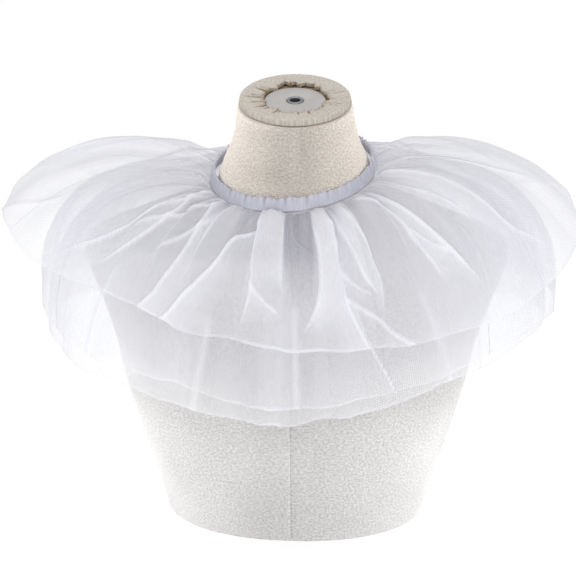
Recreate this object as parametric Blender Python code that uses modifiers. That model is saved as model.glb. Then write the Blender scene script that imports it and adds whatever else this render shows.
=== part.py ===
"""Ruff collar on a limbless dress form.

Three gathered tiers of tulle, each a front and a back strip, hang from a narrow puckered
neckband. The form under them ends in a flat neck cap above and a flat base below. The origin is the
middle of the base, +Z is up and the front faces -Y. All sizes are in metres. Angles around the neck
are degrees from the centre front, positive towards +X.
"""
from collections import namedtuple
from math import cos, pi, radians, sin, tan

import bpy
from mathutils import Vector

COLLECTION_NAME = "ruff_collar"

CLOTH_WALL = 0.0013
SEAM_GAP = 0.0003
TIER_PITCH = 0.0019
MERGE_DISTANCE = 0.00001
SHARP_EDGE_DEGREES = 50.0

# Neckband: an oval ring that leans forward and rolls a little to the left
BAND_MIDDLE_X = -0.0025
BAND_MIDDLE_Y = 0.0020
BAND_HALF_WIDTH = 0.0690
BAND_HALF_DEPTH = 0.0645
BAND_TOP_HEIGHT = 0.3315
BAND_RISE_TO_BACK = 0.180
BAND_RISE_TO_RIGHT = 0.085
BAND_DEPTH = 0.0098
BAND_WALL = 0.0020
BAND_FLARE = 0.0028
BAND_PUCKERS = 24
BAND_PUCKER_SIZE = 0.0007
BAND_STEPS_PER_PUCKER = 4

# Neck cap, on the neck's top, which tips forward
CAP_TIP_DEGREES = 8.0
CAP_RIM_RADIUS = 0.0484
CAP_PLATE_RADIUS = 0.0265
CAP_HOLE_RADIUS = 0.0074
CAP_RING_BORE = 0.0046
CAP_COVER_THICKNESS = 0.0056
CAP_COVER_EDGE_THICKNESS = 0.0044
CAP_RIM_HEIGHT = 0.0066
CAP_RIM_ROLL = 0.0020
CAP_RIM_TOP_DEGREES = (120.0, 90.0, 45.0, 0.0)
CAP_RIM_FOOT_DEGREES = (0.0, -45.0, -90.0)
CAP_PLATE_THICKNESS = 0.0028
CAP_RING_THICKNESS = 0.0034
CAP_RING_BEVEL = 0.0006
CAP_STEPS_AROUND = 40

# Dress form, from the base up: how far it reaches to each side, forward and back, and its tip
FormSection = namedtuple("FormSection", "height half_width front back tip_degrees")
FORM_SECTIONS = (
    FormSection(0.000, 0.1190, 0.0860, 0.0840, 0.0),
    FormSection(0.035, 0.1275, 0.0910, 0.0870, 0.0),
    FormSection(0.080, 0.1415, 0.0980, 0.0920, 0.0),
    FormSection(0.130, 0.1550, 0.1030, 0.0970, 0.0),
    FormSection(0.175, 0.1655, 0.0975, 0.0980, 0.0),
    FormSection(0.212, 0.1780, 0.0885, 0.0940, 0.0),
    FormSection(0.238, 0.1880, 0.0800, 0.0880, 0.0),
    FormSection(0.256, 0.1890, 0.0730, 0.0820, 0.0),
    FormSection(0.267, 0.1760, 0.0690, 0.0780, 0.0),
    FormSection(0.278, 0.1480, 0.0650, 0.0740, 1.0),
    FormSection(0.289, 0.1160, 0.0620, 0.0700, 2.5),
    FormSection(0.299, 0.0890, 0.0600, 0.0660, 4.0),
    FormSection(0.310, 0.0720, 0.0580, 0.0620, 6.0),
    FormSection(0.324, 0.0672, 0.0592, 0.0570, 8.0),
    FormSection(0.336, 0.0630, 0.0556, 0.0525, 8.5),
    FormSection(0.346, 0.0583, 0.0555, 0.0500, 9.0),
    FormSection(0.368, 0.0525, 0.0584, 0.0424, 9.0),
    FormSection(0.384, 0.0507, 0.0616, 0.0374, 8.3),
    FormSection(0.390, 0.0493, 0.0615, 0.0355, CAP_TIP_DEGREES),
)
FORM_STEPS_AROUND = 40
FORM_SQUARENESS = 2.2

# Shape of a tier at some angles around the neck. The cloth leaves the band towards the bend and
# ends at the hem, as a smooth curve between the two.
TierSection = namedtuple("TierSection", "degrees bend_reach bend_height hem_reach hem_height")
TOP_SECTIONS = (
    TierSection(-180, 0.105, 0.300, 0.164, 0.205),
    TierSection(-150, 0.122, 0.302, 0.190, 0.222),
    TierSection(-130, 0.150, 0.309, 0.227, 0.252),
    TierSection(-112, 0.174, 0.352, 0.257, 0.289),
    TierSection(-92, 0.184, 0.346, 0.262, 0.277),
    TierSection(-72, 0.165, 0.336, 0.231, 0.258),
    TierSection(-48, 0.130, 0.315, 0.186, 0.248),
    TierSection(-30, 0.117, 0.299, 0.161, 0.226),
    TierSection(-12, 0.110, 0.291, 0.146, 0.217),
    TierSection(8, 0.108, 0.289, 0.142, 0.212),
    TierSection(26, 0.112, 0.295, 0.156, 0.213),
    TierSection(47, 0.130, 0.318, 0.182, 0.221),
    TierSection(68, 0.160, 0.342, 0.218, 0.236),
    TierSection(88, 0.180, 0.353, 0.248, 0.261),
    TierSection(108, 0.166, 0.355, 0.247, 0.286),
    TierSection(130, 0.146, 0.319, 0.223, 0.254),
    TierSection(150, 0.122, 0.303, 0.190, 0.222),
)
MIDDLE_SECTIONS = (
    TierSection(-180, 0.099, 0.288, 0.151, 0.158),
    TierSection(-150, 0.128, 0.290, 0.180, 0.168),
    TierSection(-120, 0.192, 0.312, 0.228, 0.190),
    TierSection(-90, 0.224, 0.339, 0.236, 0.196),
    TierSection(-70, 0.190, 0.320, 0.205, 0.181),
    TierSection(-48, 0.140, 0.299, 0.165, 0.172),
    TierSection(-20, 0.104, 0.275, 0.132, 0.153),
    TierSection(0, 0.100, 0.270, 0.127, 0.149),
    TierSection(20, 0.103, 0.276, 0.132, 0.154),
    TierSection(40, 0.125, 0.296, 0.154, 0.168),
    TierSection(60, 0.165, 0.320, 0.186, 0.183),
    TierSection(88, 0.222, 0.344, 0.232, 0.203),
    TierSection(120, 0.192, 0.317, 0.222, 0.192),
    TierSection(150, 0.128, 0.293, 0.180, 0.168),
)
BOTTOM_SECTIONS = (
    TierSection(-180, 0.094, 0.270, 0.142, 0.138),
    TierSection(-150, 0.123, 0.275, 0.168, 0.146),
    TierSection(-120, 0.187, 0.296, 0.212, 0.168),
    TierSection(-90, 0.222, 0.320, 0.229, 0.175),
    TierSection(-70, 0.184, 0.298, 0.197, 0.160),
    TierSection(-48, 0.132, 0.280, 0.159, 0.149),
    TierSection(-20, 0.094, 0.258, 0.123, 0.133),
    TierSection(0, 0.090, 0.252, 0.118, 0.130),
    TierSection(20, 0.094, 0.259, 0.124, 0.138),
    TierSection(40, 0.115, 0.278, 0.145, 0.151),
    TierSection(60, 0.158, 0.301, 0.176, 0.168),
    TierSection(88, 0.216, 0.324, 0.221, 0.189),
    TierSection(120, 0.187, 0.302, 0.208, 0.172),
    TierSection(150, 0.123, 0.278, 0.168, 0.146),
)

# Folds of the top tier over its front and sides: where each ridge leaves the band, where it meets
# the hem, and its height
Fold = namedtuple("Fold", "band_degrees hem_degrees height")
TOP_FRONT_FOLDS = (
    Fold(-92, -90, 0.009),
    Fold(-77, -77, 0.011),
    Fold(-66, -65, 0.009),
    Fold(-57, -54, 0.010),
    Fold(-47, -43, 0.012),
    Fold(-34, -32, 0.013),
    Fold(-10, -9.5, 0.017),
    Fold(19, 17, 0.013),
    Fold(31, 29, 0.012),
    Fold(45, 41, 0.010),
    Fold(58, 54, 0.010),
    Fold(74, 67, 0.013),
    Fold(88, 80, 0.010),
    Fold(101, 94, 0.009),
)
TOP_BACK_FOLDS = 11
TOP_BACK_HEIGHT = 0.009
TOP_STEPS_PER_FOLD = 6
TOP_STEPS_DOWN = 5

# How unlike the folds round the back and under the top tier are: a share of their height and an
# angle at the hem, both following a sine that turns by so many radians from a fold to the next
UNEVEN_HEIGHT = 0.24
UNEVEN_DEGREES = 2.2
UNEVEN_TURN = 2.3

# How fast a fold rises below the band, and the share of its height that is left at the hem
FOLD_GROWTH = 2.3
HEM_FOLD_SHARE = 0.45

# Gathers of the two lower tiers
LOWER_FOLDS = 30
LOWER_FRONT_HEIGHT = 0.008
LOWER_SIDE_HEIGHT = 0.014
LOWER_STEPS_PER_FOLD = 5
LOWER_STEPS_DOWN = 4
LOWER_SINK = 0.35

# Each tier is sewn from a front and a back strip, which meet this far from the centre front
JOIN_DEGREES = 90.0
JOIN_GAP = 0.0006

TULLE = ("tulle_white", (0.86, 0.86, 0.89), 0.75, 0.0)
BAND_CLOTH = ("tulle_casing", (0.80, 0.81, 0.85), 0.75, 0.0)
FORM_CLOTH = ("form_cloth", (0.80, 0.77, 0.71), 0.85, 0.0)
CAP_PAINT = ("cap_plate_paint", (0.72, 0.71, 0.68), 0.60, 0.0)
RING_METAL = ("ring_metal", (0.45, 0.45, 0.46), 0.35, 1.0)


def clear_scene():
    for item in list(bpy.data.objects):
        bpy.data.objects.remove(item)


def make_material(name, colour, roughness, metallic):
    material = bpy.data.materials.get(name) or bpy.data.materials.new(name)
    material.use_nodes = True
    shader = material.node_tree.nodes["Principled BSDF"]
    shader.inputs["Base Color"].default_value = (*colour, 1.0)
    shader.inputs["Roughness"].default_value = roughness
    shader.inputs["Metallic"].default_value = metallic
    return material


def add_object(collection, name, points, faces, material):
    mesh = bpy.data.meshes.new(name)
    mesh.from_pydata([tuple(point) for point in points], [], faces)
    mesh.materials.append(make_material(*material))
    mesh.shade_smooth()
    mesh.set_sharp_from_angle(angle=radians(SHARP_EDGE_DEGREES))
    item = bpy.data.objects.new(name, mesh)
    collection.objects.link(item)
    return item


def between_sections(sections, degrees):
    """The sections' values at one angle, on a smooth closed curve through the table's rows."""
    knots = [row.degrees for row in sections]
    count = len(sections)
    angle = (degrees - knots[0]) % 360.0 + knots[0]
    index = max(i for i in range(count) if knots[i] <= angle)

    def row(step):
        turns, place = divmod(index + step, count)
        return knots[place] + 360.0 * turns, sections[place][1:]

    (d0, r0), (d1, r1), (d2, r2), (d3, r3) = (row(step) for step in (-1, 0, 1, 2))
    span = d2 - d1
    part = (angle - d1) / span
    values = []
    for a, b, c, d in zip(r0, r1, r2, r3):
        slope_in = (c - a) / (d2 - d0) * span
        slope_out = (d - b) / (d3 - d1) * span
        start = (2 * part ** 3 - 3 * part ** 2 + 1) * b + (part ** 3 - 2 * part ** 2 + part) * slope_in
        end = (3 * part ** 2 - 2 * part ** 3) * c + (part ** 3 - part ** 2) * slope_out
        values.append(start + end)
    return values


def outward(degrees):
    return Vector((sin(radians(degrees)), -cos(radians(degrees)), 0.0))


def upward(along, away):
    """The direction square to the cloth's own run, on the side that faces up and out."""
    out = along.dot(away)
    return (away * -along.z + Vector((0.0, 0.0, out))).normalized()


def band_point(degrees, wider, lower):
    """A point of the neckband: further out than its inner face, and lower than its top edge."""
    flare = BAND_FLARE * lower / BAND_DEPTH
    x = BAND_MIDDLE_X + (BAND_HALF_WIDTH + wider + flare) * sin(radians(degrees))
    y = BAND_MIDDLE_Y - (BAND_HALF_DEPTH + wider + flare) * cos(radians(degrees))
    z = BAND_TOP_HEIGHT + BAND_RISE_TO_RIGHT * x + BAND_RISE_TO_BACK * y - lower
    return Vector((x, y, z))


def tier_point(sections, layer, degrees, down, lift):
    """A point of a tier's middle surface, where down runs from 0 at the band to 1 at the hem."""
    bend_reach, bend_height, hem_reach, hem_height = between_sections(sections, degrees)
    away = outward(degrees)
    bend = away * bend_reach + Vector((0.0, 0.0, bend_height))
    hem = away * hem_reach + Vector((0.0, 0.0, hem_height))
    corner = band_point(degrees, BAND_WALL, BAND_DEPTH)
    leave = (bend - corner).normalized()
    seam = corner + leave * (CLOTH_WALL / 2) - upward(leave, away) * (TIER_PITCH * layer)
    point = seam * (1 - down) ** 2 + bend * (2 * down * (1 - down)) + hem * down ** 2
    along = (bend - seam) * (1 - down) + (hem - bend) * down
    return point + upward(along, away) * lift


def ridge(part):
    """Height of a fold, as a share: 1 on its ridge and 0 half way to the next one."""
    return cos(pi * part) ** 2


def fold_rise(down):
    """Share of a fold's height so far down: it grows below the band and settles at the hem."""
    return FOLD_GROWTH * down - (FOLD_GROWTH - HEM_FOLD_SHARE) * down ** 2


def columns_of(folds, steps):
    """One row for each column of points: its angle at the band, at the hem, and its height."""
    columns = []
    for index, fold in enumerate(folds):
        following = folds[(index + 1) % len(folds)]
        turn = 360.0 if index + 1 == len(folds) else 0.0
        for step in range(steps):
            part = step / steps
            band = fold.band_degrees + (following.band_degrees + turn - fold.band_degrees) * part
            hem = fold.hem_degrees + (following.hem_degrees + turn - fold.hem_degrees) * part
            owner = fold if part < 0.5 else following
            columns.append((band, hem, owner.height * ridge(part)))
    return columns


def top_folds():
    """The front folds from the table, and evenly spaced ones with unlike heights round the back."""
    first = TOP_FRONT_FOLDS[0]
    last = TOP_FRONT_FOLDS[-1]
    folds = list(TOP_FRONT_FOLDS)
    for index in range(1, TOP_BACK_FOLDS + 1):
        share = index / (TOP_BACK_FOLDS + 1)
        band = last.band_degrees + (first.band_degrees + 360.0 - last.band_degrees) * share
        hem = last.hem_degrees + (first.hem_degrees + 360.0 - last.hem_degrees) * share
        height = TOP_BACK_HEIGHT * (1.0 + UNEVEN_HEIGHT * sin(UNEVEN_TURN * index))
        folds.append(Fold(band, hem + UNEVEN_DEGREES * cos(UNEVEN_TURN * index), height))
    return folds


def lower_folds(share):
    """Gathers all round a lower tier, higher at the sides than in front."""
    folds = []
    for index in range(LOWER_FOLDS):
        degrees = 360.0 * index / LOWER_FOLDS - 180.0
        sideways = sin(radians(degrees)) ** 2
        height = LOWER_FRONT_HEIGHT + (LOWER_SIDE_HEIGHT - LOWER_FRONT_HEIGHT) * sideways
        height *= share * (1.0 + UNEVEN_HEIGHT * sin(UNEVEN_TURN * index))
        folds.append(Fold(degrees, degrees + UNEVEN_DEGREES * cos(UNEVEN_TURN * index), height))
    return folds


def from_front(degrees):
    """The same angle, given as -180 to 180 degrees from the centre front."""
    return (degrees + 180.0) % 360.0 - 180.0


def strips_of(columns, steps):
    """The columns of the front and the back strip. They share the two columns where they are
    joined, each on the flank of a fold."""
    flanks = range(1, len(columns), steps)
    left = min(flanks, key=lambda index: abs(from_front(columns[index][0] + JOIN_DEGREES)))
    right = min(flanks, key=lambda index: abs(from_front(columns[index][0] - JOIN_DEGREES)))
    ring = columns + columns
    front = ring[left:right + 1]
    back = ring[right:left + len(columns) + 1]
    return ("front", front), ("back", back)


def strip_points(sections, layer, columns, steps_down, sunk):
    """A strip's points, a line of them down each column. Its two ends stop short of the join."""
    lines = []
    for band, hem, height in columns:
        line = []
        for row in range(steps_down + 1):
            down = row / steps_down
            lift = height * fold_rise(down) - sunk * down
            line.append(tier_point(sections, layer, band + (hem - band) * down, down, lift))
        lines.append(line)
    for end, inner in ((0, 1), (-1, -2)):
        for point, neighbour in zip(lines[end], lines[inner]):
            point += (neighbour - point).normalized() * (JOIN_GAP / 2)
    return lines


def build_tier(collection, name, sections, layer, folds, steps_around, steps_down, sink):
    """A tier as two open gathered strips, made walls by Solidify. Sink is the share of the
    highest fold by which the whole surface lies lower, so that its folds go both ways."""
    columns = columns_of(folds, steps_around)
    sunk = sink * max(height for band, hem, height in columns)
    for side, strip in strips_of(columns, steps_around):
        lines = strip_points(sections, layer, strip, steps_down, sunk)
        points = [point for line in lines for point in line]
        faces = []
        for column in range(len(lines) - 1):
            for row in range(steps_down):
                here = column * (steps_down + 1) + row
                there = here + steps_down + 1
                faces.append((here, here + 1, there + 1, there))
        tier = add_object(collection, f"{name}_{side}", points, faces, TULLE)
        wall = tier.modifiers.new("wall", "SOLIDIFY")
        wall.thickness = CLOTH_WALL
        wall.offset = 0.0


def build_band(collection):
    """The neckband, a thin casing whose top edge puckers in and out."""
    steps = BAND_PUCKERS * BAND_STEPS_PER_PUCKER
    points = []
    faces = []
    for step in range(steps):
        degrees = 360.0 * step / steps
        pucker = BAND_PUCKER_SIZE * sin(2 * pi * step / BAND_STEPS_PER_PUCKER)
        points.append(band_point(degrees, 0.0, BAND_DEPTH))
        points.append(band_point(degrees, BAND_WALL, BAND_DEPTH))
        points.append(band_point(degrees, BAND_WALL + pucker, 0.0))
        points.append(band_point(degrees, pucker, 0.0))
        for corner in range(4):
            here = 4 * step
            there = 4 * ((step + 1) % steps)
            side = (corner + 1) % 4
            faces.append((here + corner, there + corner, there + side, here + side))
    return add_object(collection, "neckband", points, faces, BAND_CLOTH)


def form_ring(section):
    """One level outline of the form, a rounded oval, tipped forward by the section's angle."""
    depth = (section.front + section.back) / 2
    middle = (section.back - section.front) / 2
    power = 2.0 / FORM_SQUARENESS
    ring = []
    for step in range(FORM_STEPS_AROUND):
        angle = 2 * pi * step / FORM_STEPS_AROUND
        across = sin(angle)
        along = -cos(angle)
        x = section.half_width * abs(across) ** power * (1 if across >= 0 else -1)
        y = depth * abs(along) ** power * (1 if along >= 0 else -1)
        z = section.height + tan(radians(section.tip_degrees)) * y
        ring.append(Vector((x, middle + y, z)))
    return ring


def build_form(collection):
    points = []
    faces = []
    for section in FORM_SECTIONS:
        points.extend(form_ring(section))
    around = FORM_STEPS_AROUND
    for level in range(len(FORM_SECTIONS) - 1):
        for step in range(around):
            side = (step + 1) % around
            here = level * around
            above = here + around
            faces.append((here + step, here + side, above + side, above + step))
    faces.append(tuple(reversed(range(around))))
    top = (len(FORM_SECTIONS) - 1) * around
    faces.append(tuple(range(top, top + around)))
    return add_object(collection, "form_body", points, faces, FORM_CLOTH)


def cap_frame(collection):
    """An empty in the middle of the neck's flat top, tipped as the top is."""
    section = FORM_SECTIONS[-1]
    frame = bpy.data.objects.new("cap_frame", None)
    frame.location = (0.0, (section.back - section.front) / 2, section.height)
    frame.rotation_euler = (radians(CAP_TIP_DEGREES), 0.0, 0.0)
    collection.objects.link(frame)
    return frame


def build_turned(collection, frame, name, profile, material):
    """A ring turned about the cap's middle from a closed outline of radius and height."""
    points = [Vector((radius, 0.0, height + SEAM_GAP)) for radius, height in profile]
    mesh = bpy.data.meshes.new(name)
    edges = [(index, (index + 1) % len(points)) for index in range(len(points))]
    mesh.from_pydata(points, edges, [])
    mesh.materials.append(make_material(*material))
    item = bpy.data.objects.new(name, mesh)
    item.parent = frame
    collection.objects.link(item)
    turn = item.modifiers.new("turn", "SCREW")
    turn.steps = CAP_STEPS_AROUND
    turn.render_steps = CAP_STEPS_AROUND
    turn.use_merge_vertices = True
    turn.merge_threshold = MERGE_DISTANCE
    turn.use_smooth_shade = True
    return item


def build_cap(collection):
    frame = cap_frame(collection)
    cover_profile = [(CAP_PLATE_RADIUS + SEAM_GAP, CAP_COVER_EDGE_THICKNESS)]
    cover_profile.append((CAP_RIM_RADIUS - CAP_RIM_HEIGHT, CAP_COVER_THICKNESS))
    for middle, arc in ((CAP_RIM_HEIGHT - CAP_RIM_ROLL, CAP_RIM_TOP_DEGREES),
                        (CAP_RIM_ROLL, CAP_RIM_FOOT_DEGREES)):
        for degrees in arc:
            radius = CAP_RIM_RADIUS - CAP_RIM_ROLL + CAP_RIM_ROLL * cos(radians(degrees))
            cover_profile.append((radius, middle + CAP_RIM_ROLL * sin(radians(degrees))))
    cover_profile.append((CAP_PLATE_RADIUS + SEAM_GAP, 0.0))
    build_turned(collection, frame, "cap_cover", cover_profile, FORM_CLOTH)

    plate_profile = (
        (CAP_HOLE_RADIUS + SEAM_GAP, CAP_PLATE_THICKNESS),
        (CAP_PLATE_RADIUS, CAP_PLATE_THICKNESS),
        (CAP_PLATE_RADIUS, 0.0),
        (CAP_HOLE_RADIUS + SEAM_GAP, 0.0),
    )
    build_turned(collection, frame, "cap_plate", plate_profile, CAP_PAINT)

    ring_profile = (
        (CAP_RING_BORE, CAP_RING_THICKNESS - CAP_RING_BEVEL),
        (CAP_RING_BORE + CAP_RING_BEVEL, CAP_RING_THICKNESS),
        (CAP_HOLE_RADIUS - CAP_RING_BEVEL, CAP_RING_THICKNESS),
        (CAP_HOLE_RADIUS, CAP_RING_THICKNESS - CAP_RING_BEVEL),
        (CAP_HOLE_RADIUS, 0.0),
        (CAP_RING_BORE, 0.0),
    )
    build_turned(collection, frame, "cap_ring", ring_profile, RING_METAL)


def main():
    clear_scene()
    collection = bpy.data.collections.new(COLLECTION_NAME)
    bpy.context.scene.collection.children.link(collection)
    build_form(collection)
    build_cap(collection)
    build_band(collection)
    build_tier(collection, "ruffle_top", TOP_SECTIONS, 0, top_folds(),
               TOP_STEPS_PER_FOLD, TOP_STEPS_DOWN, 0.0)
    build_tier(collection, "ruffle_middle", MIDDLE_SECTIONS, 1, lower_folds(1.0),
               LOWER_STEPS_PER_FOLD, LOWER_STEPS_DOWN, LOWER_SINK)
    build_tier(collection, "ruffle_bottom", BOTTOM_SECTIONS, 2, lower_folds(0.8),
               LOWER_STEPS_PER_FOLD, LOWER_STEPS_DOWN, LOWER_SINK)


main()
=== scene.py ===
"""The look of a sheer tulle ruff collar on a limbless dress form.

The collar has three gathered tiers on a puckered neckband. The form is covered with fine knit that
is gathered in over its neck cap. Sizes are in metres, and in the tables of rows in millimetres. +Z is
up and the front faces -Y. Angles around the neck are degrees from the centre front, positive towards
+X, the wearer's left.
"""

from collections import namedtuple
from math import cos, pi, radians, sin

import bmesh
import bpy
import numpy as np
from mathutils import Matrix, Vector


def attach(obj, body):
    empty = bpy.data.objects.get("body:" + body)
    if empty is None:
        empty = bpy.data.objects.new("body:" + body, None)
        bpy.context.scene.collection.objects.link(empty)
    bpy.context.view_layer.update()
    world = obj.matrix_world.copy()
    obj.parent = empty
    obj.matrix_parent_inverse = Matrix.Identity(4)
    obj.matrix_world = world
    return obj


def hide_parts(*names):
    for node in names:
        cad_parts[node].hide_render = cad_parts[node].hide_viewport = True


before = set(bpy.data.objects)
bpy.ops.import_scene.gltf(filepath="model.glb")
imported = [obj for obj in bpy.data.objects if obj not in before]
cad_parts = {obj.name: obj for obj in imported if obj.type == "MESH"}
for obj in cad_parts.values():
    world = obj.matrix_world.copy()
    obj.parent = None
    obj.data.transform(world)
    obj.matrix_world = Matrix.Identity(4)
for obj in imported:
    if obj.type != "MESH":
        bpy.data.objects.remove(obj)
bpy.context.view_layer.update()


def named_rows(kind, sizes, rows):
    """A table's rows with their values named. The sizes are written in millimetres, kept in metres."""
    named = [kind(*row) for row in rows]
    return [row._replace(**{size: getattr(row, size) / 1000 for size in sizes}) for row in named]



# Camera, at the photo's angle: its turn to the right, its height angle, distance, aim and lens
CAMERA_TURN_DEGREES = 3.5
CAMERA_RISE_DEGREES = 22.0
CAMERA_DISTANCE = 1.9
CAMERA_AIM = (-0.007, 0.0, 0.212)
CAMERA_LENS_MM = 131.2
SENSOR_MM = 36.0

# Light: an even surround and a pale floor that glows a little, for all. A broad light from above falls
# on the form alone, and broad ones from the front, from above and from behind fall on the tulle alone.
WORLD_STRENGTH = 0.66
FLOOR_GLOW = 0.39
FORM_OVERHEAD = 1.1
TULLE_FRONT_LIGHT = 1.75
TULLE_OVERHEAD = 0.10
TULLE_BACK_LIGHT = 0.5

# Softboxes whose beam, in degrees, is narrow, so that each lights the trunk below the collar or the
# neck above it. They stand round the form, turned from its front and risen from the floor.
Softbox = namedtuple("Softbox", "name turn_degrees rise_degrees aim_height distance size beam watts")
SOFTBOXES = [Softbox(*row) for row in (
    ("trunk_left", -90.0, 0.0, 0.060, 0.9, (0.7, 0.14), 24.0, 0.36),
    ("trunk_right", 90.0, 0.0, 0.060, 0.9, (0.7, 0.14), 24.0, 0.36),
    ("neck_left", -99.0, 15.0, 0.365, 0.8, (0.3, 0.08), 20.0, 0.125),
    ("neck_right", 99.0, 15.0, 0.365, 0.8, (0.3, 0.08), 20.0, 0.10),
)]

# Neckband
BAND_MIDDLE_X = -0.0025
BAND_MIDDLE_Y = 0.0020
BAND_HALF_WIDTH = 0.0690
BAND_HALF_DEPTH = 0.0645
BAND_TOP_HEIGHT = 0.3315
BAND_RISE_TO_BACK = 0.180
BAND_RISE_TO_RIGHT = 0.085
BAND_DEPTH = 0.0098
BAND_WALL = 0.0020
BAND_FLARE = 0.0028
# How far the elastic puckers its top edge out and up, how far down the puckers reach, and how far the
# casing wanders out and up between them
PUCKER_OUT = 0.0008
PUCKER_UP = 0.0016
PUCKER_REACH = 0.0045
CASING_OUT = 0.00035
CASING_UP = 0.0006
# The row of stitches, above the band's lower edge
BAND_STITCH_HEIGHT = 0.0019

# Neck cap
CAP_TIP_DEGREES = 8.0
CAP_RIM_RADIUS = 0.0484
CAP_RIM_HEIGHT = 0.0066
CAP_RIM_ROLL = 0.0020
CAP_PLATE_RADIUS = 0.0265
CAP_PLATE_THICKNESS = 0.0028
CAP_RING_RADIUS = 0.0074
CAP_RING_BORE = 0.0046
CAP_RING_THICKNESS = 0.0034
CAP_COVER_THICKNESS = 0.0056
CAP_EDGE_RADIUS = 0.0280
CAP_EDGE_DROP = 0.0008
# The cover's edge wanders and frays. At the back it stands away from the plate and up from the cap,
# for so many degrees.
CAP_EDGE_WANDER = 0.0018
CAP_EDGE_FRAY = 0.0011
CAP_GAP_DEGREES = 38.0
CAP_GAP = 0.0036
CAP_GAP_RISE = 0.0006
CAP_BOARD_OVERLAP = 0.006
CAP_BOARD_THICKNESS = 0.0012
HOLE_SHADOW_THICKNESS = 0.0006
SEAT_GAP = 0.0003

# The form's levels: the reach to the front and to the back, and how far the level tips forwards.
# The squareness is that of every level, and 2 would be an ellipse.
FORM_SQUARENESS = 2.2
FormSection = namedtuple("FormSection", "height half_width front back tip_degrees")
FORM_SIZES = FormSection._fields[:4]
FORM_SECTIONS = named_rows(FormSection, FORM_SIZES, [
    (0, 119, 86, 84, 0.0),
    (35, 127.5, 91, 87, 0.0),
    (80, 141.5, 98, 92, 0.0),
    (130, 155, 103, 97, 0.0),
    (175, 165.5, 97.5, 98, 0.0),
    (212, 178, 88.5, 94, 0.0),
    (238, 188, 80, 88, 0.0),
    (256, 189, 73, 82, 0.0),
    (267, 176, 69, 78, 0.0),
    (278, 148, 65, 74, 1.0),
    (289, 116, 62, 70, 2.5),
    (299, 89, 60, 66, 4.0),
    (310, 72, 58, 62, 6.0),
    (324, 67.2, 59.2, 57, 8.0),
    (336, 63, 55.6, 52.5, 8.5),
    (346, 58.3, 55.5, 50, 9.0),
    (368, 52.5, 58.4, 42.4, 9.0),
    (384, 50.7, 61.6, 37.4, 8.3),
    (390, 49.3, 61.5, 35.5, CAP_TIP_DEGREES),
])

# Centre front seam of the form's cover: how far each line of points lies from the seam, and how
# far it stands out
SeamLine = namedtuple("SeamLine", "offset rise")
FRONT_SEAM = named_rows(SeamLine, SeamLine._fields, [
    (-3.4, 0),
    (-2, 0.1),
    (-1.1, 0.5),
    (-0.4, 0.7),
    (0.2, 0.6),
    (0.6, -0.3),
    (1.2, -0.9),
    (1.9, -0.3),
    (3.4, 0),
])
FRONT_SEAM_TOP = 0.300
SEAM_STITCH_OFFSET = -0.0026
# Wear on the form's cover: it yellows up the neck. A band across the front of the neck is darker and
# browner.
YELLOW_FROM = 0.300
YELLOW_TO = 0.335
NECK_DARKENING_HEIGHT = 0.352
NECK_DARKENING_REACH = 0.009
NECK_DARKENING_STRENGTH = 0.45
# How far round the cover is laid out flat for its knit, as a radius
TRUNK_GIRTH = 0.118
NECK_GIRTH = 0.056

# The tiers at angles round the neck: how far out and how high the cloth bends over, and its hem hangs
TierSection = namedtuple("TierSection", "degrees bend_reach bend_height hem_reach hem_height")
TIER_SIZES = TierSection._fields[1:]
TOP_SECTIONS = named_rows(TierSection, TIER_SIZES, [
    (-180, 105, 300, 164, 205),
    (-150, 122, 302, 190, 222),
    (-130, 150, 309, 227, 252),
    (-112, 174, 352, 257, 289),
    (-92, 184, 346, 262, 277),
    (-72, 165, 336, 231, 258),
    (-48, 130, 315, 186, 248),
    (-30, 117, 299, 161, 226),
    (-12, 110, 291, 146, 217),
    (8, 108, 289, 142, 212),
    (26, 112, 295, 156, 213),
    (47, 130, 318, 182, 221),
    (68, 160, 342, 218, 236),
    (88, 180, 353, 248, 261),
    (108, 166, 355, 247, 286),
    (130, 146, 319, 223, 254),
    (150, 122, 303, 190, 222),
])
MIDDLE_SECTIONS = named_rows(TierSection, TIER_SIZES, [
    (-180, 99, 288, 151, 158),
    (-150, 128, 290, 180, 168),
    (-120, 192, 312, 228, 190),
    (-90, 224, 339, 236, 196),
    (-70, 190, 320, 205, 181),
    (-48, 140, 299, 165, 172),
    (-20, 104, 275, 132, 153),
    (0, 100, 270, 127, 149),
    (20, 103, 276, 132, 154),
    (40, 125, 296, 154, 168),
    (60, 165, 320, 186, 183),
    (88, 222, 344, 232, 203),
    (120, 192, 317, 222, 192),
    (150, 128, 293, 180, 168),
])
BOTTOM_SECTIONS = named_rows(TierSection, TIER_SIZES, [
    (-180, 94, 270, 142, 138),
    (-150, 123, 275, 168, 146),
    (-120, 187, 296, 212, 168),
    (-90, 222, 320, 229, 175),
    (-70, 184, 298, 197, 160),
    (-48, 132, 280, 159, 149),
    (-20, 94, 258, 123, 133),
    (0, 90, 252, 118, 130),
    (20, 94, 259, 124, 138),
    (40, 115, 278, 145, 151),
    (60, 158, 301, 176, 168),
    (88, 216, 324, 221, 189),
    (120, 187, 302, 208, 172),
    (150, 123, 278, 168, 146),
])
CLOTH_WALL = 0.0013
TIER_PITCH = 0.0019

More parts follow.
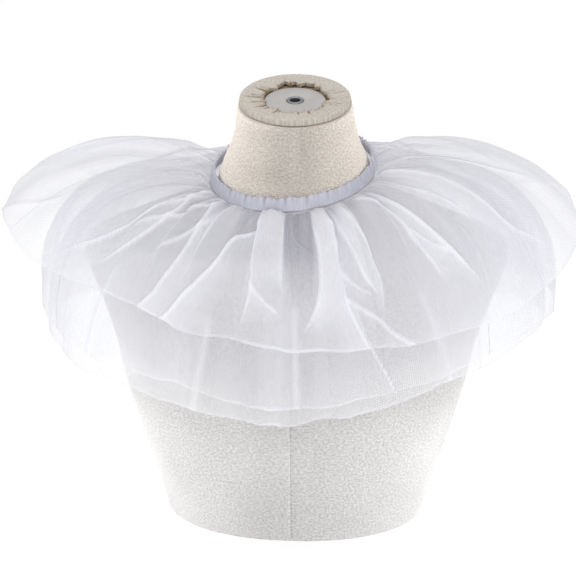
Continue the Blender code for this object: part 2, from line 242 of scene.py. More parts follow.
# Folds: where a ridge leaves the band and meets the hem, its height along the tier and just under
# the band, how far its ridge leans sideways and its sides roll over, and how deep the valleys are
# beside it, as a share of its height
Fold = namedtuple("Fold", "band_degrees hem_degrees height puff lean roll depth", defaults=(1.0,))
FOLD_SIZES = ("height", "puff", "lean", "roll")
TOP_FRONT_FOLDS = named_rows(Fold, FOLD_SIZES, [
    (-92, -90, 9, 3, 0, 4),
    (-77, -77, 11, 3, 4, 4),
    (-66, -65, 9, 3, -4, 3),
    (-57, -54, 10, 4, -5, 3),
    (-47, -43, 12, 4, -8, 3),
    (-34, -32, 13, 5, -6, 4),
    (-10, -9.5, 17, 9, 3, 5),
    (19, 17, 13, 7, 2, 5),
    (31, 29, 12, 5, 5, 3),
    (45, 41, 10, 4, 5, 3),
    (58, 54, 10, 4, 4, 3),
    (74, 67, 13, 4, 6, 4),
    (88, 80, 10, 3, 3, 4),
    (101, 94, 9, 3, -3, 3),
])
TOP_BACK_FOLDS = 11
TOP_BACK_HEIGHT = 0.009
LOWER_FOLDS = 30
LOWER_FRONT_HEIGHT = 0.008
LOWER_SIDE_HEIGHT = 0.014
LOWER_SINK = 0.35
UNEVEN_HEIGHT = 0.24
UNEVEN_DEGREES = 2.2
UNEVEN_TURN = 2.3
BACK_PUFF = 0.002
BACK_LEAN = 0.004
BACK_ROLL = 0.003

# Creases in the tulle. Each follows a path of places: the share of the way down, and the angle. It
# stands out by its height. More cloth lies doubled on one side of it, as if by so many more layers,
# out to its reach: on the side of the wearer's right hand where the number is positive.
Crease = namedtuple("Crease", "path height width layers reach")
CREASE_SIZES = ("height", "width", "reach")
TOP_CREASES = named_rows(Crease, CREASE_SIZES, [
    (((0.02, -45), (0.46, -40), (0.89, -41), (1.00, -43)), 3, 1.3, -1.3, 18),
    (((0.02, -16), (0.24, -15.4), (0.33, -22.5), (0.57, -27), (0.73, -30.5), (1.00, -37.5)),
     4, 1.4, -1.2, 15),
    (((0.02, -17), (0.38, -14.7), (0.67, -12.8), (0.94, -15.5)), 2.6, 1.2, -1.2, 13),
    (((0.02, -2.2), (0.29, -1.4), (0.49, -2.2), (0.70, -2.8)), 3.4, 1.3, 1.8, 15),
    (((0.64, -14), (0.76, -8.3), (0.83, -2.0)), 2.2, 1.3, 0.5, 8),
    (((0.04, 1.7), (0.35, 1.5), (0.51, 2.3)), 2.4, 1, 0.1, 5),
    (((0.08, 3.7), (0.32, 3.9), (0.48, 12)), 2.4, 1, 0.1, 5),
    (((0.02, 10.5), (0.08, 11.5), (0.32, 14.6), (0.57, 14.0), (0.75, 11.3), (0.92, 5.6)),
     3.4, 1.4, -2.4, 26),
    (((0.02, 25), (0.29, 25.5), (0.49, 27.7), (0.65, 28.9), (0.79, 32.6)), 4, 1.4, -1.3, 14),
    (((0.10, 18), (0.37, 22.3), (0.52, 22.4), (0.76, 22.6), (1.00, 26)), 2.6, 1.3, 1.0, 14),
    (((0.33, 19.7), (0.63, 24.2), (0.76, 30.6)), 2.2, 1.2, 0.4, 6),
    (((0.70, 21), (0.76, 23.9), (0.89, 31.3), (1.00, 38.4)), 3, 1.8, 0.4, 7),
    (((0.08, 30), (0.41, 31.7), (0.67, 34.4), (0.87, 32.1)), 2.6, 1.3, 0.8, 12),
    (((0.02, 51), (0.11, 50.4), (0.32, 52.2), (0.67, 55.3), (0.86, 60)), 4.4, 1.5, 1.2, 14),
    (((0.06, 41), (0.19, 45), (0.30, 49), (0.57, 49.7), (0.81, 51.6)), 3.2, 1.4, -0.8, 10),
    (((0.46, 49.9), (0.57, 51.7), (0.70, 56)), 2, 1.3, 0.4, 8),
    (((0.01, 73), (0.25, 71), (0.65, 73), (0.88, 80)), 2.6, 1.8, 0.7, 16),
    (((0.02, 62), (0.30, 64), (0.62, 66)), 2.4, 1.4, -0.5, 10),
    (((0.06, 88), (0.45, 90), (0.80, 96)), 2, 2, -0.5, 14),
    (((0.01, -55), (0.14, -52.7), (0.46, -57), (0.78, -62.9), (0.94, -69.7)), 3.4, 1.7, 0.6, 10),
    (((0.02, -58), (0.35, -52.3), (0.75, -54.6), (0.90, -61)), 3.4, 1.7, 0.6, 10),
    (((0.12, -38), (0.33, -39.8), (0.56, -42.8), (0.75, -48.5)), 2.8, 1.6, -0.4, 8),
    (((0.10, -42), (0.19, -43.3), (0.49, -53.6), (0.68, -59.4)), 2.6, 1.6, -0.4, 8),
    (((0.00, -72), (0.08, -84), (0.24, -76)), 3, 2, 0.5, 12),
    (((0.29, -107), (0.67, -102), (0.98, -105)), 2, 2.4, 0.4, 14),
    (((0.70, -80), (1.00, -91)), 1.8, 2.4, 0.4, 14),
])
# More of the stretch of the middle tier that shows through and under the top one
MIDDLE_CREASES = named_rows(Crease, CREASE_SIZES, [
    (((0.60, 27), (0.64, 28), (0.82, 32), (1.00, 38)), 2.6, 1.5, 0.3, 6),
    (((0.55, 3), (1.00, 4)), 1, 5, 0.5, 16),
    (((0.60, -62), (1.00, -66)), 1.4, 3, -0.3, 12),
])
BOTTOM_CREASES = named_rows(Crease, CREASE_SIZES, [
    (((0.60, -34), (1.00, -36)), 1, 4, 0.3, 12),
    (((0.60, 52), (1.00, 56)), 1, 4, -0.3, 12),
])
BACK_CREASES = 11
LOWER_CREASES = 9

# The open valley in the middle front, where the cloth lies in a single layer
VALLEY_DEGREES = 6.0
VALLEY_HALF_DEGREES = 8.6
VALLEY_LENGTH = 0.80
VALLEY_THINNING = 0.25
VALLEY_SHADE = 0.88
# Shade between the folds, just under the band
GATHER_SHADE = 0.62
GATHER_SHADE_REACH = 0.20

TOP_COLUMNS = 1080
TOP_ROWS = 86
LOWER_COLUMNS = 1020
LOWER_ROWS = 56
# Fine gathers under the band, slow waves and ripples in the fall of the cloth, and the same at the hem
GATHERS = 66
GATHER_SIZE = 0.0011
GATHER_REACH = 0.16
FALL_WAVE = 0.0022
FALL_RIPPLE = 0.0010
HEM_WAVE = 0.0020
HEM_RIPPLE = 0.0008
# The turned hem: how wide it is, the gap between its layers, and how closed the net looks there
HEM_TURN_TOP = 0.0024
HEM_TURN_LOWER = 0.0020
HEM_LAYER_GAP = 0.0006
HEM_LAYERS_TOP = 2.3
HEM_LAYERS_LOWER = 1.4
# How much of the valleys beside the folds is kept: in the top tier, at its sides, and in the lower tiers
TOP_FOLD_SHARE = 0.85
SIDE_FOLD_SHARE = 0.45
LOWER_FOLD_SHARE = 0.30

# The strip that each piece is cut from
Cut = namedtuple("Cut", "length depth")
TOP_CUT = Cut(1.40, 0.165)
MIDDLE_CUT = Cut(1.30, 0.195)
BOTTOM_CUT = Cut(1.20, 0.200)
BAND_CUT = Cut(0.450, 0.028)

# The net: the share of light that one layer stops, its tint, and the colour of the shade painted deep in
# the gathers.
# The cloth looks like more layers at the sides, at the bottom hem, and on a crease and beside it.
Net = namedtuple("Net", "cover tint shade")
SHEER_TULLE = Net(0.12, (0.90, 0.905, 0.95), (0.46, 0.45, 0.53))
# The casing's tint, darker than the sheer net's, is painted shade on the band
DOUBLED_TULLE = Net(0.72, (0.66, 0.67, 0.75), (0.48, 0.48, 0.58))
NET_CELL = 0.0014
SIDE_LAYERS = 2.6
BOTTOM_LAYERS = 1.6
RIM_LAYERS = 8.0
CREASE_GAIN = 2.8

# The knit: its colour on top of a stitch and between stitches, the tint of its stains and of the shade
# painted on it, and the width and height of a stitch
Knit = namedtuple("Knit", "base deep stain wale course")
FORM_KNIT = Knit((0.88, 0.865, 0.86), (0.47, 0.455, 0.45), (0.95, 0.885, 0.80), 0.0022, 0.0017)
CAP_KNIT = Knit((0.82, 0.77, 0.71), (0.49, 0.44, 0.375), (0.48, 0.36, 0.20), 0.0016, 0.0013)

# Most of a noise texture's values lie between these two
NOISE_LOW = 0.3
NOISE_HIGH = 0.7
# Plain finishes, each with a speckle of some scale and detail that mixes two colours or two roughnesses
# as it goes from its low to its high value. The plate's paint also has the relief of a fine grain.
Finish = namedtuple("Finish", "name scale detail colours roughness low high others relief",
                    defaults=(NOISE_LOW, NOISE_HIGH, {}, 0.0))
PLATE_PAINT = Finish("painted_plate", 60.0, 4.0, ((0.45, 0.43, 0.42), (0.53, 0.51, 0.50)), 0.55,
                     relief=0.25)
BROWN_BOARD = Finish("brown_board", 500.0, 4.0, ((0.16, 0.09, 0.04), (0.36, 0.24, 0.13)), 0.9)
WHITE_THREAD = Finish("white_thread", 2500.0, 2.0, ((0.72, 0.72, 0.74), (0.92, 0.92, 0.93)), 0.6,
                      0.0, 1.0, {"Sheen Weight": 0.3})
DULL_STEEL = Finish("dull_steel", 900.0, 3.0, ((0.34, 0.34, 0.36),), (0.32, 0.5), others={"Metallic": 1.0})
# The bore's floor is a near-black disc: painted shadow in the hole
HOLE_SHADOW_FINISH = Finish("painted_hole_shadow", 700.0, 2.0, ((0.008, 0.008, 0.009),), (0.7, 0.9))
PAINT_GRAIN = 1400.0
PAINT_DEPTH = 0.0002

# Stitches. Their last size is how far they stand off the cloth.
Stitch = namedtuple("Stitch", "spacing length thickness proud")
BAND_STITCH = Stitch(0.0036, 0.0026, 0.00042, 0.0004)
SEAM_STITCH = Stitch(0.0030, 0.0021, 0.00040, 0.0003)


# Small helpers for numbers and shapes

def ease(values, low, high):
    """A share that rises gently from 0 to 1 as the values go from low to high."""
    part = np.clip((np.asarray(values, float) - low) / (high - low), 0.0, 1.0)
    return part * part * (3 - 2 * part)


def hermite(knots, rows, wanted):
    """Values at the wanted places on a smooth curve through the rows, which stand at the knots."""
    slopes = np.zeros_like(rows)
    slopes[1:-1] = (rows[2:] - rows[:-2]) / (knots[2:] - knots[:-2])[:, None]
    slopes[0] = (rows[1] - rows[0]) / (knots[1] - knots[0])
    slopes[-1] = (rows[-1] - rows[-2]) / (knots[-1] - knots[-2])
    index = np.clip(np.searchsorted(knots, wanted, side="right") - 1, 0, len(knots) - 2)
    span = knots[index + 1] - knots[index]
    part = ((wanted - knots[index]) / span)[..., None]
    span = span[..., None]
    start = (2 * part ** 3 - 3 * part ** 2 + 1) * rows[index]
    start = start + (part ** 3 - 2 * part ** 2 + part) * slopes[index] * span
    end = (3 * part ** 2 - 2 * part ** 3) * rows[index + 1]
    end = end + (part ** 3 - part ** 2) * slopes[index + 1] * span
    return start + end


def around_sections(sections, degrees):
    """A tier's section values at any angles, from its table closed into a ring."""
    knots = np.array([row.degrees for row in sections], float)
    rows = np.array([row[1:] for row in sections], float)
    turned = (degrees - knots[0]) % 360.0 + knots[0]
    ring_knots = np.concatenate((knots[-2:] - 360.0, knots, knots[:2] + 360.0))
    ring_rows = np.concatenate((rows[-2:], rows, rows[:2]))
    return hermite(ring_knots, ring_rows, turned)


def outward(degrees):
    angle = np.radians(degrees)
    return np.stack((np.sin(angle), -np.cos(angle), np.zeros_like(angle)), -1)


def sideways(degrees):
    angle = np.radians(degrees)
    return np.stack((np.cos(angle), np.sin(angle), np.zeros_like(angle)), -1)


def upward(along, away):
    out = (along * away).sum(-1, keepdims=True)
    normal = -away * along[..., 2:3]
    normal[..., 2] += out[..., 0]
    return normal / np.linalg.norm(normal, axis=-1, keepdims=True)


def band_point(degrees, wider, lower):
    """Points of the neckband: further out than its inner face, and lower than its top edge."""
    angle = np.radians(degrees)
    flare = BAND_FLARE * lower / BAND_DEPTH
    x = BAND_MIDDLE_X + (BAND_HALF_WIDTH + wider + flare) * np.sin(angle)
    y = BAND_MIDDLE_Y - (BAND_HALF_DEPTH + wider + flare) * np.cos(angle)
    z = BAND_TOP_HEIGHT + BAND_RISE_TO_RIGHT * x + BAND_RISE_TO_BACK * y - lower
    return np.stack(np.broadcast_arrays(x, y, z), -1)


def wander(degrees, turns, shift):
    """A gentle uneven wave that closes after a full turn."""
    angle = np.radians(degrees)
    wave = np.sin(turns * angle + shift) + 0.6 * np.sin((turns + 3) * angle + 2.1 * shift)
    return (wave + 0.4 * np.sin((2 * turns + 1) * angle + 3.7 * shift)) / 1.6


def new_object(name, data):
    item = bpy.data.objects.new(name, data)
    bpy.context.scene.collection.objects.link(item)
    return item


def grid_mesh(name, points, flat=None, values=None):
    """A mesh from a grid of points that closes round, column by column. flat gives each point's
    place in the cut cloth as a UV map, with the far edge as one more column. values are named
    numbers for each point."""
    columns, rows = points.shape[:2]
    column = np.repeat(np.arange(columns), rows - 1)
    row = np.tile(np.arange(rows - 1), columns)
    following = (column + 1) % columns
    here = column * rows + row
    there = following * rows + row
    faces = np.stack((here, there, there + 1, here + 1), -1)
    mesh = bpy.data.meshes.new(name)
    mesh.from_pydata(points.reshape(-1, 3).tolist(), [], faces.tolist())
    if flat is not None:
        corners = ((column, row), (column + 1, row), (column + 1, row + 1), (column, row + 1))
        places = np.stack([flat[c, r] for c, r in corners], 1)
        layer = mesh.uv_layers.new(name="cut")
        layer.data.foreach_set("uv", places.reshape(-1).astype(np.float32))
    for key, numbers in (values or {}).items():
        attribute = mesh.attributes.new(key, "FLOAT", "POINT")
        attribute.data.foreach_set("value", numbers.reshape(-1).astype(np.float32))
    mesh.shade_smooth()
    mesh.validate()
    return new_object(name, mesh)


def finish_piece(item, material, slot, *nodes):
    """Gives a piece its material, makes it move with the root body, and hides the solids it stands for."""
    if not item.data.materials:
        item.data.materials.append(material)
    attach(item, "root")
    if nodes:
        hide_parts(*nodes)
    return item


# Small helpers for materials

def new_material(name):
    material = bpy.data.materials.new(name)
    material.use_nodes = True
    tree = material.node_tree
    shader = tree.nodes["Principled BSDF"]
    return material, tree, shader


def feed(tree, item, inputs):
    """Sets a node's inputs to plain values, or links them to other nodes."""
    for key, value in inputs.items():
        if isinstance(value, bpy.types.NodeSocket):
            tree.links.new(value, item.inputs[key])
        else:
            item.inputs[key].default_value = value


def add_node(tree, kind, inputs=None, **settings):
    item = tree.nodes.new(kind)
    for key, value in settings.items():
        setattr(item, key, value)
    feed(tree, item, inputs or {})
    return item


def maths(tree, operation, first, second=0.0, third=0.0):
    inputs = {0: first, 1: second, 2: third}
    return add_node(tree, "ShaderNodeMath", inputs, operation=operation).outputs[0]


def spread(tree, value, low, high, new_low, new_high):
    inputs = {"Value": value, "From Min": low, "From Max": high, "To Min": new_low, "To Max": new_high}
    return add_node(tree, "ShaderNodeMapRange", inputs).outputs[0]


def spread_noise(tree, value, new_low, new_high):
    return spread(tree, value, NOISE_LOW, NOISE_HIGH, new_low, new_high)


def blend_colours(tree, share, first, second):
    inputs = {0: share}
    for key, colour in ((6, first), (7, second)):
        inputs[key] = colour if isinstance(colour, bpy.types.NodeSocket) else (*colour, 1.0)
    return add_node(tree, "ShaderNodeMix", inputs, data_type="RGBA").outputs[2]


def cut_place(tree):
    """The place in the cut cloth, in metres, as two numbers."""
    uv = add_node(tree, "ShaderNodeUVMap", uv_map="cut").outputs[0]
    parts = add_node(tree, "ShaderNodeSeparateXYZ", {0: uv})
    return uv, parts.outputs[0], parts.outputs[1]


def noise(tree, place, scale, detail=3.0, roughness=0.55):
    inputs = {"Vector": place, "Scale": scale, "Detail": detail, "Roughness": roughness}
    return add_node(tree, "ShaderNodeTexNoise", inputs).outputs[0]


# Materials

def net_threads(tree, across, along, cell):
    """A fine six-sided net: 0 in the middle of a hole and 1 on the threads."""
    total = None
    for turn in (0.0, 60.0, 120.0):
        angle = radians(turn)
        first = maths(tree, "MULTIPLY", across, 2 * pi / cell * cos(angle))
        place = maths(tree, "MULTIPLY_ADD", along, 2 * pi / cell * sin(angle), first)
        wave = maths(tree, "COSINE", place)
        total = wave if total is None else maths(tree, "ADD", total, wave)
    return spread(tree, total, -1.5, 1.8, 1.0, 0.0)


def tulle_material(name, net):
    """Net that lets light through its holes. It closes up where it is gathered or seen at a slant,
    and is shaded deep in the gathers."""
    material, tree, shader = new_material(name)
    uv, across, along = cut_place(tree)
    threads = net_threads(tree, across, along, NET_CELL)
    stretched = {0: maths(tree, "MULTIPLY", across, 620.0), 1: maths(tree, "MULTIPLY", along, 150.0)}
    grain = noise(tree, add_node(tree, "ShaderNodeCombineXYZ", stretched).outputs[0], 1.0, 2.0)
    share = spread(tree, threads, 0.0, 1.0, 0.76, 1.22)
    for speckle in (noise(tree, uv, 14.0), grain):
        share = maths(tree, "MULTIPLY", share, spread_noise(tree, speckle, 0.88, 1.12))
    fullness = add_node(tree, "ShaderNodeAttribute", attribute_name="fullness").outputs["Fac"]
    facing = add_node(tree, "ShaderNodeLayerWeight", {"Blend": 0.5}).outputs["Facing"]
    slant = maths(tree, "MAXIMUM", maths(tree, "SUBTRACT", 1.0, facing), 0.20)
    layers = maths(tree, "DIVIDE", maths(tree, "MULTIPLY", fullness, share), slant)
    holes = maths(tree, "POWER", 1.0 - net.cover, layers)
    opacity = maths(tree, "SUBTRACT", 1.0, holes)

    # Painted shade: the colour runs from the net's tint to its shade colour deep in the gathers and in the
    # open valley
    gathered = add_node(tree, "ShaderNodeAttribute", attribute_name="shade").outputs["Fac"]
    colour = blend_colours(tree, gathered, net.tint, net.shade)
    bump = add_node(tree, "ShaderNodeBump", {"Height": threads, "Strength": 0.15, "Distance": 0.0001})
    feed(tree, shader, {"Base Color": colour, "Roughness": 0.7, "Specular IOR Level": 0.3,
                        "Sheen Weight": 0.15, "Sheen Roughness": 0.5, "Normal": bump.outputs[0]})
    through = add_node(tree, "ShaderNodeBsdfTranslucent", {"Color": colour})
    cloth = add_node(tree, "ShaderNodeMixShader", {0: 0.20, 1: shader.outputs[0], 2: through.outputs[0]})
    clear = add_node(tree, "ShaderNodeBsdfTransparent")
    mixed = add_node(tree, "ShaderNodeMixShader", {0: opacity, 1: clear.outputs[0], 2: cloth.outputs[0]})
    feed(tree, tree.nodes["Material Output"], {"Surface": mixed.outputs[0]})
    return material


def knit_material(name, knit):
    """Worn fine knit: columns of small Vs, half lost in a random speckle, with yellowed places and painted
    shade.
    """
    material, tree, shader = new_material(name)
    uv, across, along = cut_place(tree)
    drift = noise(tree, uv, 30.0, 2.0)
    place = maths(tree, "DIVIDE", maths(tree, "MULTIPLY_ADD", drift, 4.0 * knit.wale, across), knit.wale)
    side = maths(tree, "ABSOLUTE", maths(tree, "SUBTRACT", maths(tree, "FRACT", place), 0.5))
    rise = maths(tree, "DIVIDE", maths(tree, "MULTIPLY_ADD", drift, 3.0 * knit.course, along), knit.course)
    slope = maths(tree, "MULTIPLY_ADD", side, 1.3, rise)
    wave = maths(tree, "COSINE", maths(tree, "MULTIPLY", slope, 2 * pi))
    leg = maths(tree, "MULTIPLY_ADD", wave, 0.5, 0.5)
    column = maths(tree, "SINE", maths(tree, "MULTIPLY", side, 2 * pi))
    stitch = maths(tree, "MULTIPLY", leg, column)
    speckle = spread(tree, noise(tree, uv, 480.0, 2.0, 0.6), 0.36, 0.64, 0.0, 1.0)
    fuzz = noise(tree, uv, 1300.0, 3.0, 0.7)
    cloud = noise(tree, uv, 9.0)
    height = maths(tree, "MULTIPLY_ADD", speckle, 0.75, maths(tree, "MULTIPLY", stitch, 0.45))
    height = maths(tree, "MULTIPLY_ADD", fuzz, 0.35, height)
    worn = maths(tree, "MULTIPLY_ADD", cloud, 0.45, maths(tree, "MULTIPLY", height, 0.50))
    share = spread(tree, worn, 0.20, 0.90, 0.0, 1.0)
    clean = blend_colours(tree, share, knit.deep, knit.base)
    stained_and_shaded_deep = tuple(first * second for first, second in zip(knit.deep, knit.stain))
    stained_and_shaded_base = tuple(first * second for first, second in zip(knit.base, knit.stain))
    stained_and_shaded = blend_colours(tree, share, stained_and_shaded_deep, stained_and_shaded_base)
    # The darker tint mixes in as the mesh says: yellowing up the form's neck, a darker band across its
    # front, and painted shade on the cap
    reach = add_node(tree, "ShaderNodeAttribute", attribute_name="stain").outputs["Fac"]
    colour = blend_colours(tree, reach, clean, stained_and_shaded)
    bump = add_node(tree, "ShaderNodeBump", {"Height": height, "Strength": 0.75, "Distance": 0.0007})
    feed(tree, shader, {"Base Color": colour, "Roughness": 0.9, "Specular IOR Level": 0.2,
                        "Sheen Weight": 0.15, "Normal": bump.outputs[0]})
    return material


def plain_material(finish):
    """A plain finish whose speckle mixes its two colours, or its two roughnesses if it has one colour."""
    material, tree, shader = new_material(finish.name)
    place = add_node(tree, "ShaderNodeTexCoord").outputs["Object"]
    speckle = noise(tree, place, finish.scale, finish.detail)
    if len(finish.colours) == 2:
        share = spread(tree, speckle, finish.low, finish.high, 0.0, 1.0)
        inputs = {"Base Color": blend_colours(tree, share, *finish.colours), "Roughness": finish.roughness}
    else:
        rough = spread(tree, speckle, finish.low, finish.high, *finish.roughness)
        inputs = {"Base Color": (*finish.colours[0], 1.0), "Roughness": rough}
    if finish.relief:
        grain = {"Height": noise(tree, place, PAINT_GRAIN, 2.0), "Strength": finish.relief,
                 "Distance": PAINT_DEPTH}
        inputs["Normal"] = add_node(tree, "ShaderNodeBump", grain).outputs[0]
    feed(tree, shader, {**inputs, **finish.others})
    return material


# The dress form

def form_levels(heights):
    knots = np.array([row.height for row in FORM_SECTIONS])
    rows = np.array([row[1:] for row in FORM_SECTIONS])
    return hermite(knots, rows, heights)


def build_form(material):
    """The form's body: level rings from base to neck top, with the front seam in its surface."""
    heights = np.concatenate((np.linspace(0.0, 0.24, 50), np.linspace(0.244, 0.39, 56)))
    half_width, front, back, tip = form_levels(heights).T
    depth = (front + back) / 2
    middle = (back - front) / 2
    power = 2.0 / FORM_SQUARENESS
    seam_edge = radians(6.0)
    plain = np.linspace(seam_edge, 2 * pi - seam_edge, 216)
    angles = np.repeat(plain[:, None], len(heights), 1)
    seam_angles = []
    rises = [np.zeros((len(plain), len(heights)))]
    fade = 1.0 - ease(heights, FRONT_SEAM_TOP - 0.02, FRONT_SEAM_TOP)
    for line in FRONT_SEAM:
        share = np.abs(line.offset / half_width) ** (1.0 / power)
        seam_angles.append(2 * pi + np.sign(line.offset) * np.arcsin(share))
        rises.append((line.rise * fade)[None])
    angles = np.concatenate((angles, np.array(seam_angles)))
    rises = np.concatenate(rises)
    across = np.sin(angles)
    along = -np.cos(angles)
    x = half_width * np.abs(across) ** power * np.sign(across)
    y = depth * np.abs(along) ** power * np.sign(along)
    z = heights + np.tan(np.radians(tip)) * y
    points = np.stack((x, middle + y - rises, z), -1)
    girth = TRUNK_GIRTH + (NECK_GIRTH - TRUNK_GIRTH) * ease(heights, 0.262, 0.30)
    lengths = np.concatenate(([0.0], np.cumsum(np.hypot(np.diff(half_width), np.diff(heights)))))
    turned = np.concatenate((angles, angles[:1] + 2 * pi))
    flat = np.stack((turned * girth, np.broadcast_to(lengths, turned.shape)), -1)
    yellowed = ease(heights, YELLOW_FROM, YELLOW_TO)
    neck_darkening = np.exp(-((heights - NECK_DARKENING_HEIGHT) / NECK_DARKENING_REACH) ** 2) * np.maximum(-along, 0.0) ** 2
    body = grid_mesh("form_cover", points, flat, {"stain": yellowed + NECK_DARKENING_STRENGTH * neck_darkening})
    mend_mesh(body, lambda mesh: close_ends(mesh, len(points)), 45.0)
    return finish_piece(body, material, "form_cloth", "form_body")


def mend_mesh(item, change, crisp_degrees):
    """Changes a mesh, faces it outwards, and makes its edges crisp where they turn sharply."""
    mesh = bmesh.new()
    mesh.from_mesh(item.data)
    change(mesh)
    bmesh.ops.recalc_face_normals(mesh, faces=mesh.faces)
    mesh.to_mesh(item.data)
    mesh.free()
    item.data.set_sharp_from_angle(angle=radians(crisp_degrees))


def close_ends(mesh, columns):
    """Flat faces over the first and last ring of a grid."""
    mesh.verts.ensure_lookup_table()
    rows = len(mesh.verts) // columns
    base = [mesh.verts[column * rows] for column in range(columns)]
    top = [mesh.verts[column * rows + rows - 1] for column in range(columns)]
    mesh.faces.new(list(reversed(base)))
    mesh.faces.new(top)


def join_doubles(mesh):
    bmesh.ops.remove_doubles(mesh, verts=mesh.verts, dist=0.000005)


# The neck cap

def cap_matrix():
    section = FORM_SECTIONS[-1]
    middle = (0.0, (section.back - section.front) / 2, section.height)
    return Matrix.Translation(middle) @ Matrix.Rotation(radians(CAP_TIP_DEGREES), 4, "X")


def washer(name, inner, outer, thickness, bevel, finish, slot, *nodes):
    """A ring with rounded upper edges, turned about the cap's middle and tipped onto the cap."""
    outline = [(inner, 0.0), (outer, 0.0)]
    for middle, turns in ((outer - bevel, (0, 30, 60, 90)), (inner + bevel, (90, 120, 150, 180))):
        for turn in turns:
            angle = radians(turn)
            outline.append((middle + bevel * cos(angle), thickness - bevel + bevel * sin(angle)))
    radius, height = np.array(outline + outline[:1]).T
    angles = np.linspace(0.0, 2 * pi, WASHER_STEPS, endpoint=False)[:, None]
    height = height + SEAT_GAP + 0 * angles
    item = grid_mesh(name, np.stack((radius * np.cos(angles), radius * np.sin(angles), height), -1))
    mend_mesh(item, join_doubles, 50.0)
    item.data.transform(cap_matrix())
    return finish_piece(item, plain_material(finish), slot, *nodes)


CapCrease = namedtuple("CapCrease", "degrees length depth width")
CAP_CREASES = 26
WASHER_STEPS = 128


def cap_creases():
    """Gathers round the edge of the cover, longest at its left and right, uneven in size and place."""
    creases = []
    for index in range(CAP_CREASES):
        degrees = 360.0 * index / CAP_CREASES + 4.0 * sin(2.7 * index)
        beside = cos(radians(degrees)) ** 2
        length = 0.004 + 0.010 * beside ** 2 + 0.002 * sin(1.9 * index + 0.4)
        depth = 0.0014 + 0.0006 * sin(3.1 * index)
        width = 0.0009 + 0.0003 * sin(1.3 * index)
        creases.append(CapCrease(degrees, length, depth, width))
    return creases


def build_cap_cover(material):
    """The cover's end, pulled over the rim and gathered in to a ragged edge. At the back the edge
    stands up and leaves a gap."""
    columns = 720
    degrees = np.arange(columns) * 360.0 / columns
    ragged = CAP_EDGE_WANDER * wander(degrees, 7, 0.7) + CAP_EDGE_FRAY * wander(degrees, 23, 1.9)
    at_back = np.exp(-((degrees - 90.0) / CAP_GAP_DEGREES) ** 2)
    edge = CAP_EDGE_RADIUS + ragged * (1.0 + at_back) + CAP_GAP * at_back
    rows = []
    for middle, turns in ((CAP_RIM_ROLL, (-90, -60, -30, 0)),
                          (CAP_RIM_HEIGHT - CAP_RIM_ROLL, (0, 30, 60, 90, 120))):
        for turn in turns:
            radius = CAP_RIM_RADIUS - CAP_RIM_ROLL + CAP_RIM_ROLL * cos(radians(turn))
            height = middle + CAP_RIM_ROLL * sin(radians(turn))
            rows.append((np.full(columns, radius), np.full(columns, height)))
    inner = CAP_RIM_RADIUS - CAP_RIM_HEIGHT
    for step in range(1, 19):
        share = step / 18
        radius = inner + (edge - inner) * share
        height = CAP_COVER_THICKNESS - CAP_EDGE_DROP * share + CAP_GAP_RISE * at_back * share ** 3
        rows.append((radius, height))
    for drop in (0.0005, 0.0012, 0.0020, 0.0030):
        rows.append((edge + 0.0001, CAP_COVER_THICKNESS - CAP_EDGE_DROP - drop + CAP_GAP_RISE * at_back))
    radius = np.array([row[0] for row in rows]).T
    height = np.array([row[1] + 0 * degrees for row in rows]).T
    fold = np.zeros_like(radius)
    for crease in cap_creases():
        gap = ((degrees - crease.degrees + 180.0) % 360.0 - 180.0)[:, None]
        aside = np.radians(gap) * radius / crease.width
        reach = np.exp(-((radius - CAP_EDGE_RADIUS) / crease.length) ** 2)
        fold += crease.depth * reach * (np.exp(-aside ** 2) - 0.9 * np.exp(-(aside - 1.5) ** 2))
    height = height + fold * (radius < inner + 0.001)
    angle = np.radians(degrees)[:, None]
    points = np.stack((radius * np.cos(angle), radius * np.sin(angle), height + SEAT_GAP), -1)
    around = np.radians(np.arange(columns + 1) * 360.0 / columns)[:, None]
    flat = np.stack((around * 0.04 + 0 * radius[:1], 0.1 - np.vstack((radius, radius[:1]))), -1)
    # Painted shade in the creases of the gathers and under the rim's roll, and a darker tone towards the
    # ragged edge
    crease_shade_and_edge = ease(-fold, 0.00005, 0.0006) + 0.35 * ease(-height, -CAP_RIM_ROLL, 0.0)
    crease_shade_and_edge = crease_shade_and_edge + 0.30 * ease(-radius, -edge[:, None] - 0.004, -edge[:, None])
    cover = grid_mesh("cap_gathers", points, flat, {"stain": np.minimum(crease_shade_and_edge + 0.05, 1.0)})
    cover.data.transform(cap_matrix())
    return finish_piece(cover, material, "cap_cloth", "cap_cover")


def build_cap():
    return [
        build_cap_cover(knit_material("cap_knit", CAP_KNIT)),
        washer("neck_plate", CAP_RING_RADIUS + SEAT_GAP, CAP_PLATE_RADIUS, CAP_PLATE_THICKNESS, 0.0006,
               PLATE_PAINT, "cap_plate", "cap_plate"),
        washer("cap_board", CAP_PLATE_RADIUS + SEAT_GAP, CAP_EDGE_RADIUS + CAP_BOARD_OVERLAP,
               CAP_BOARD_THICKNESS, 0.0002, BROWN_BOARD, "cap_plate"),
        washer("socket_ring", CAP_RING_BORE, CAP_RING_RADIUS, CAP_RING_THICKNESS, 0.0007,
               DULL_STEEL, "ring_metal", "cap_ring"),
        # A near-black disc at the bottom of the bore: painted shadow in the hole
        washer("hole_shadow_disc", 0.0001, CAP_RING_BORE - 0.0001, HOLE_SHADOW_THICKNESS, 0.0001,
               HOLE_SHADOW_FINISH, "ring_metal"),
    ]


# The neckband

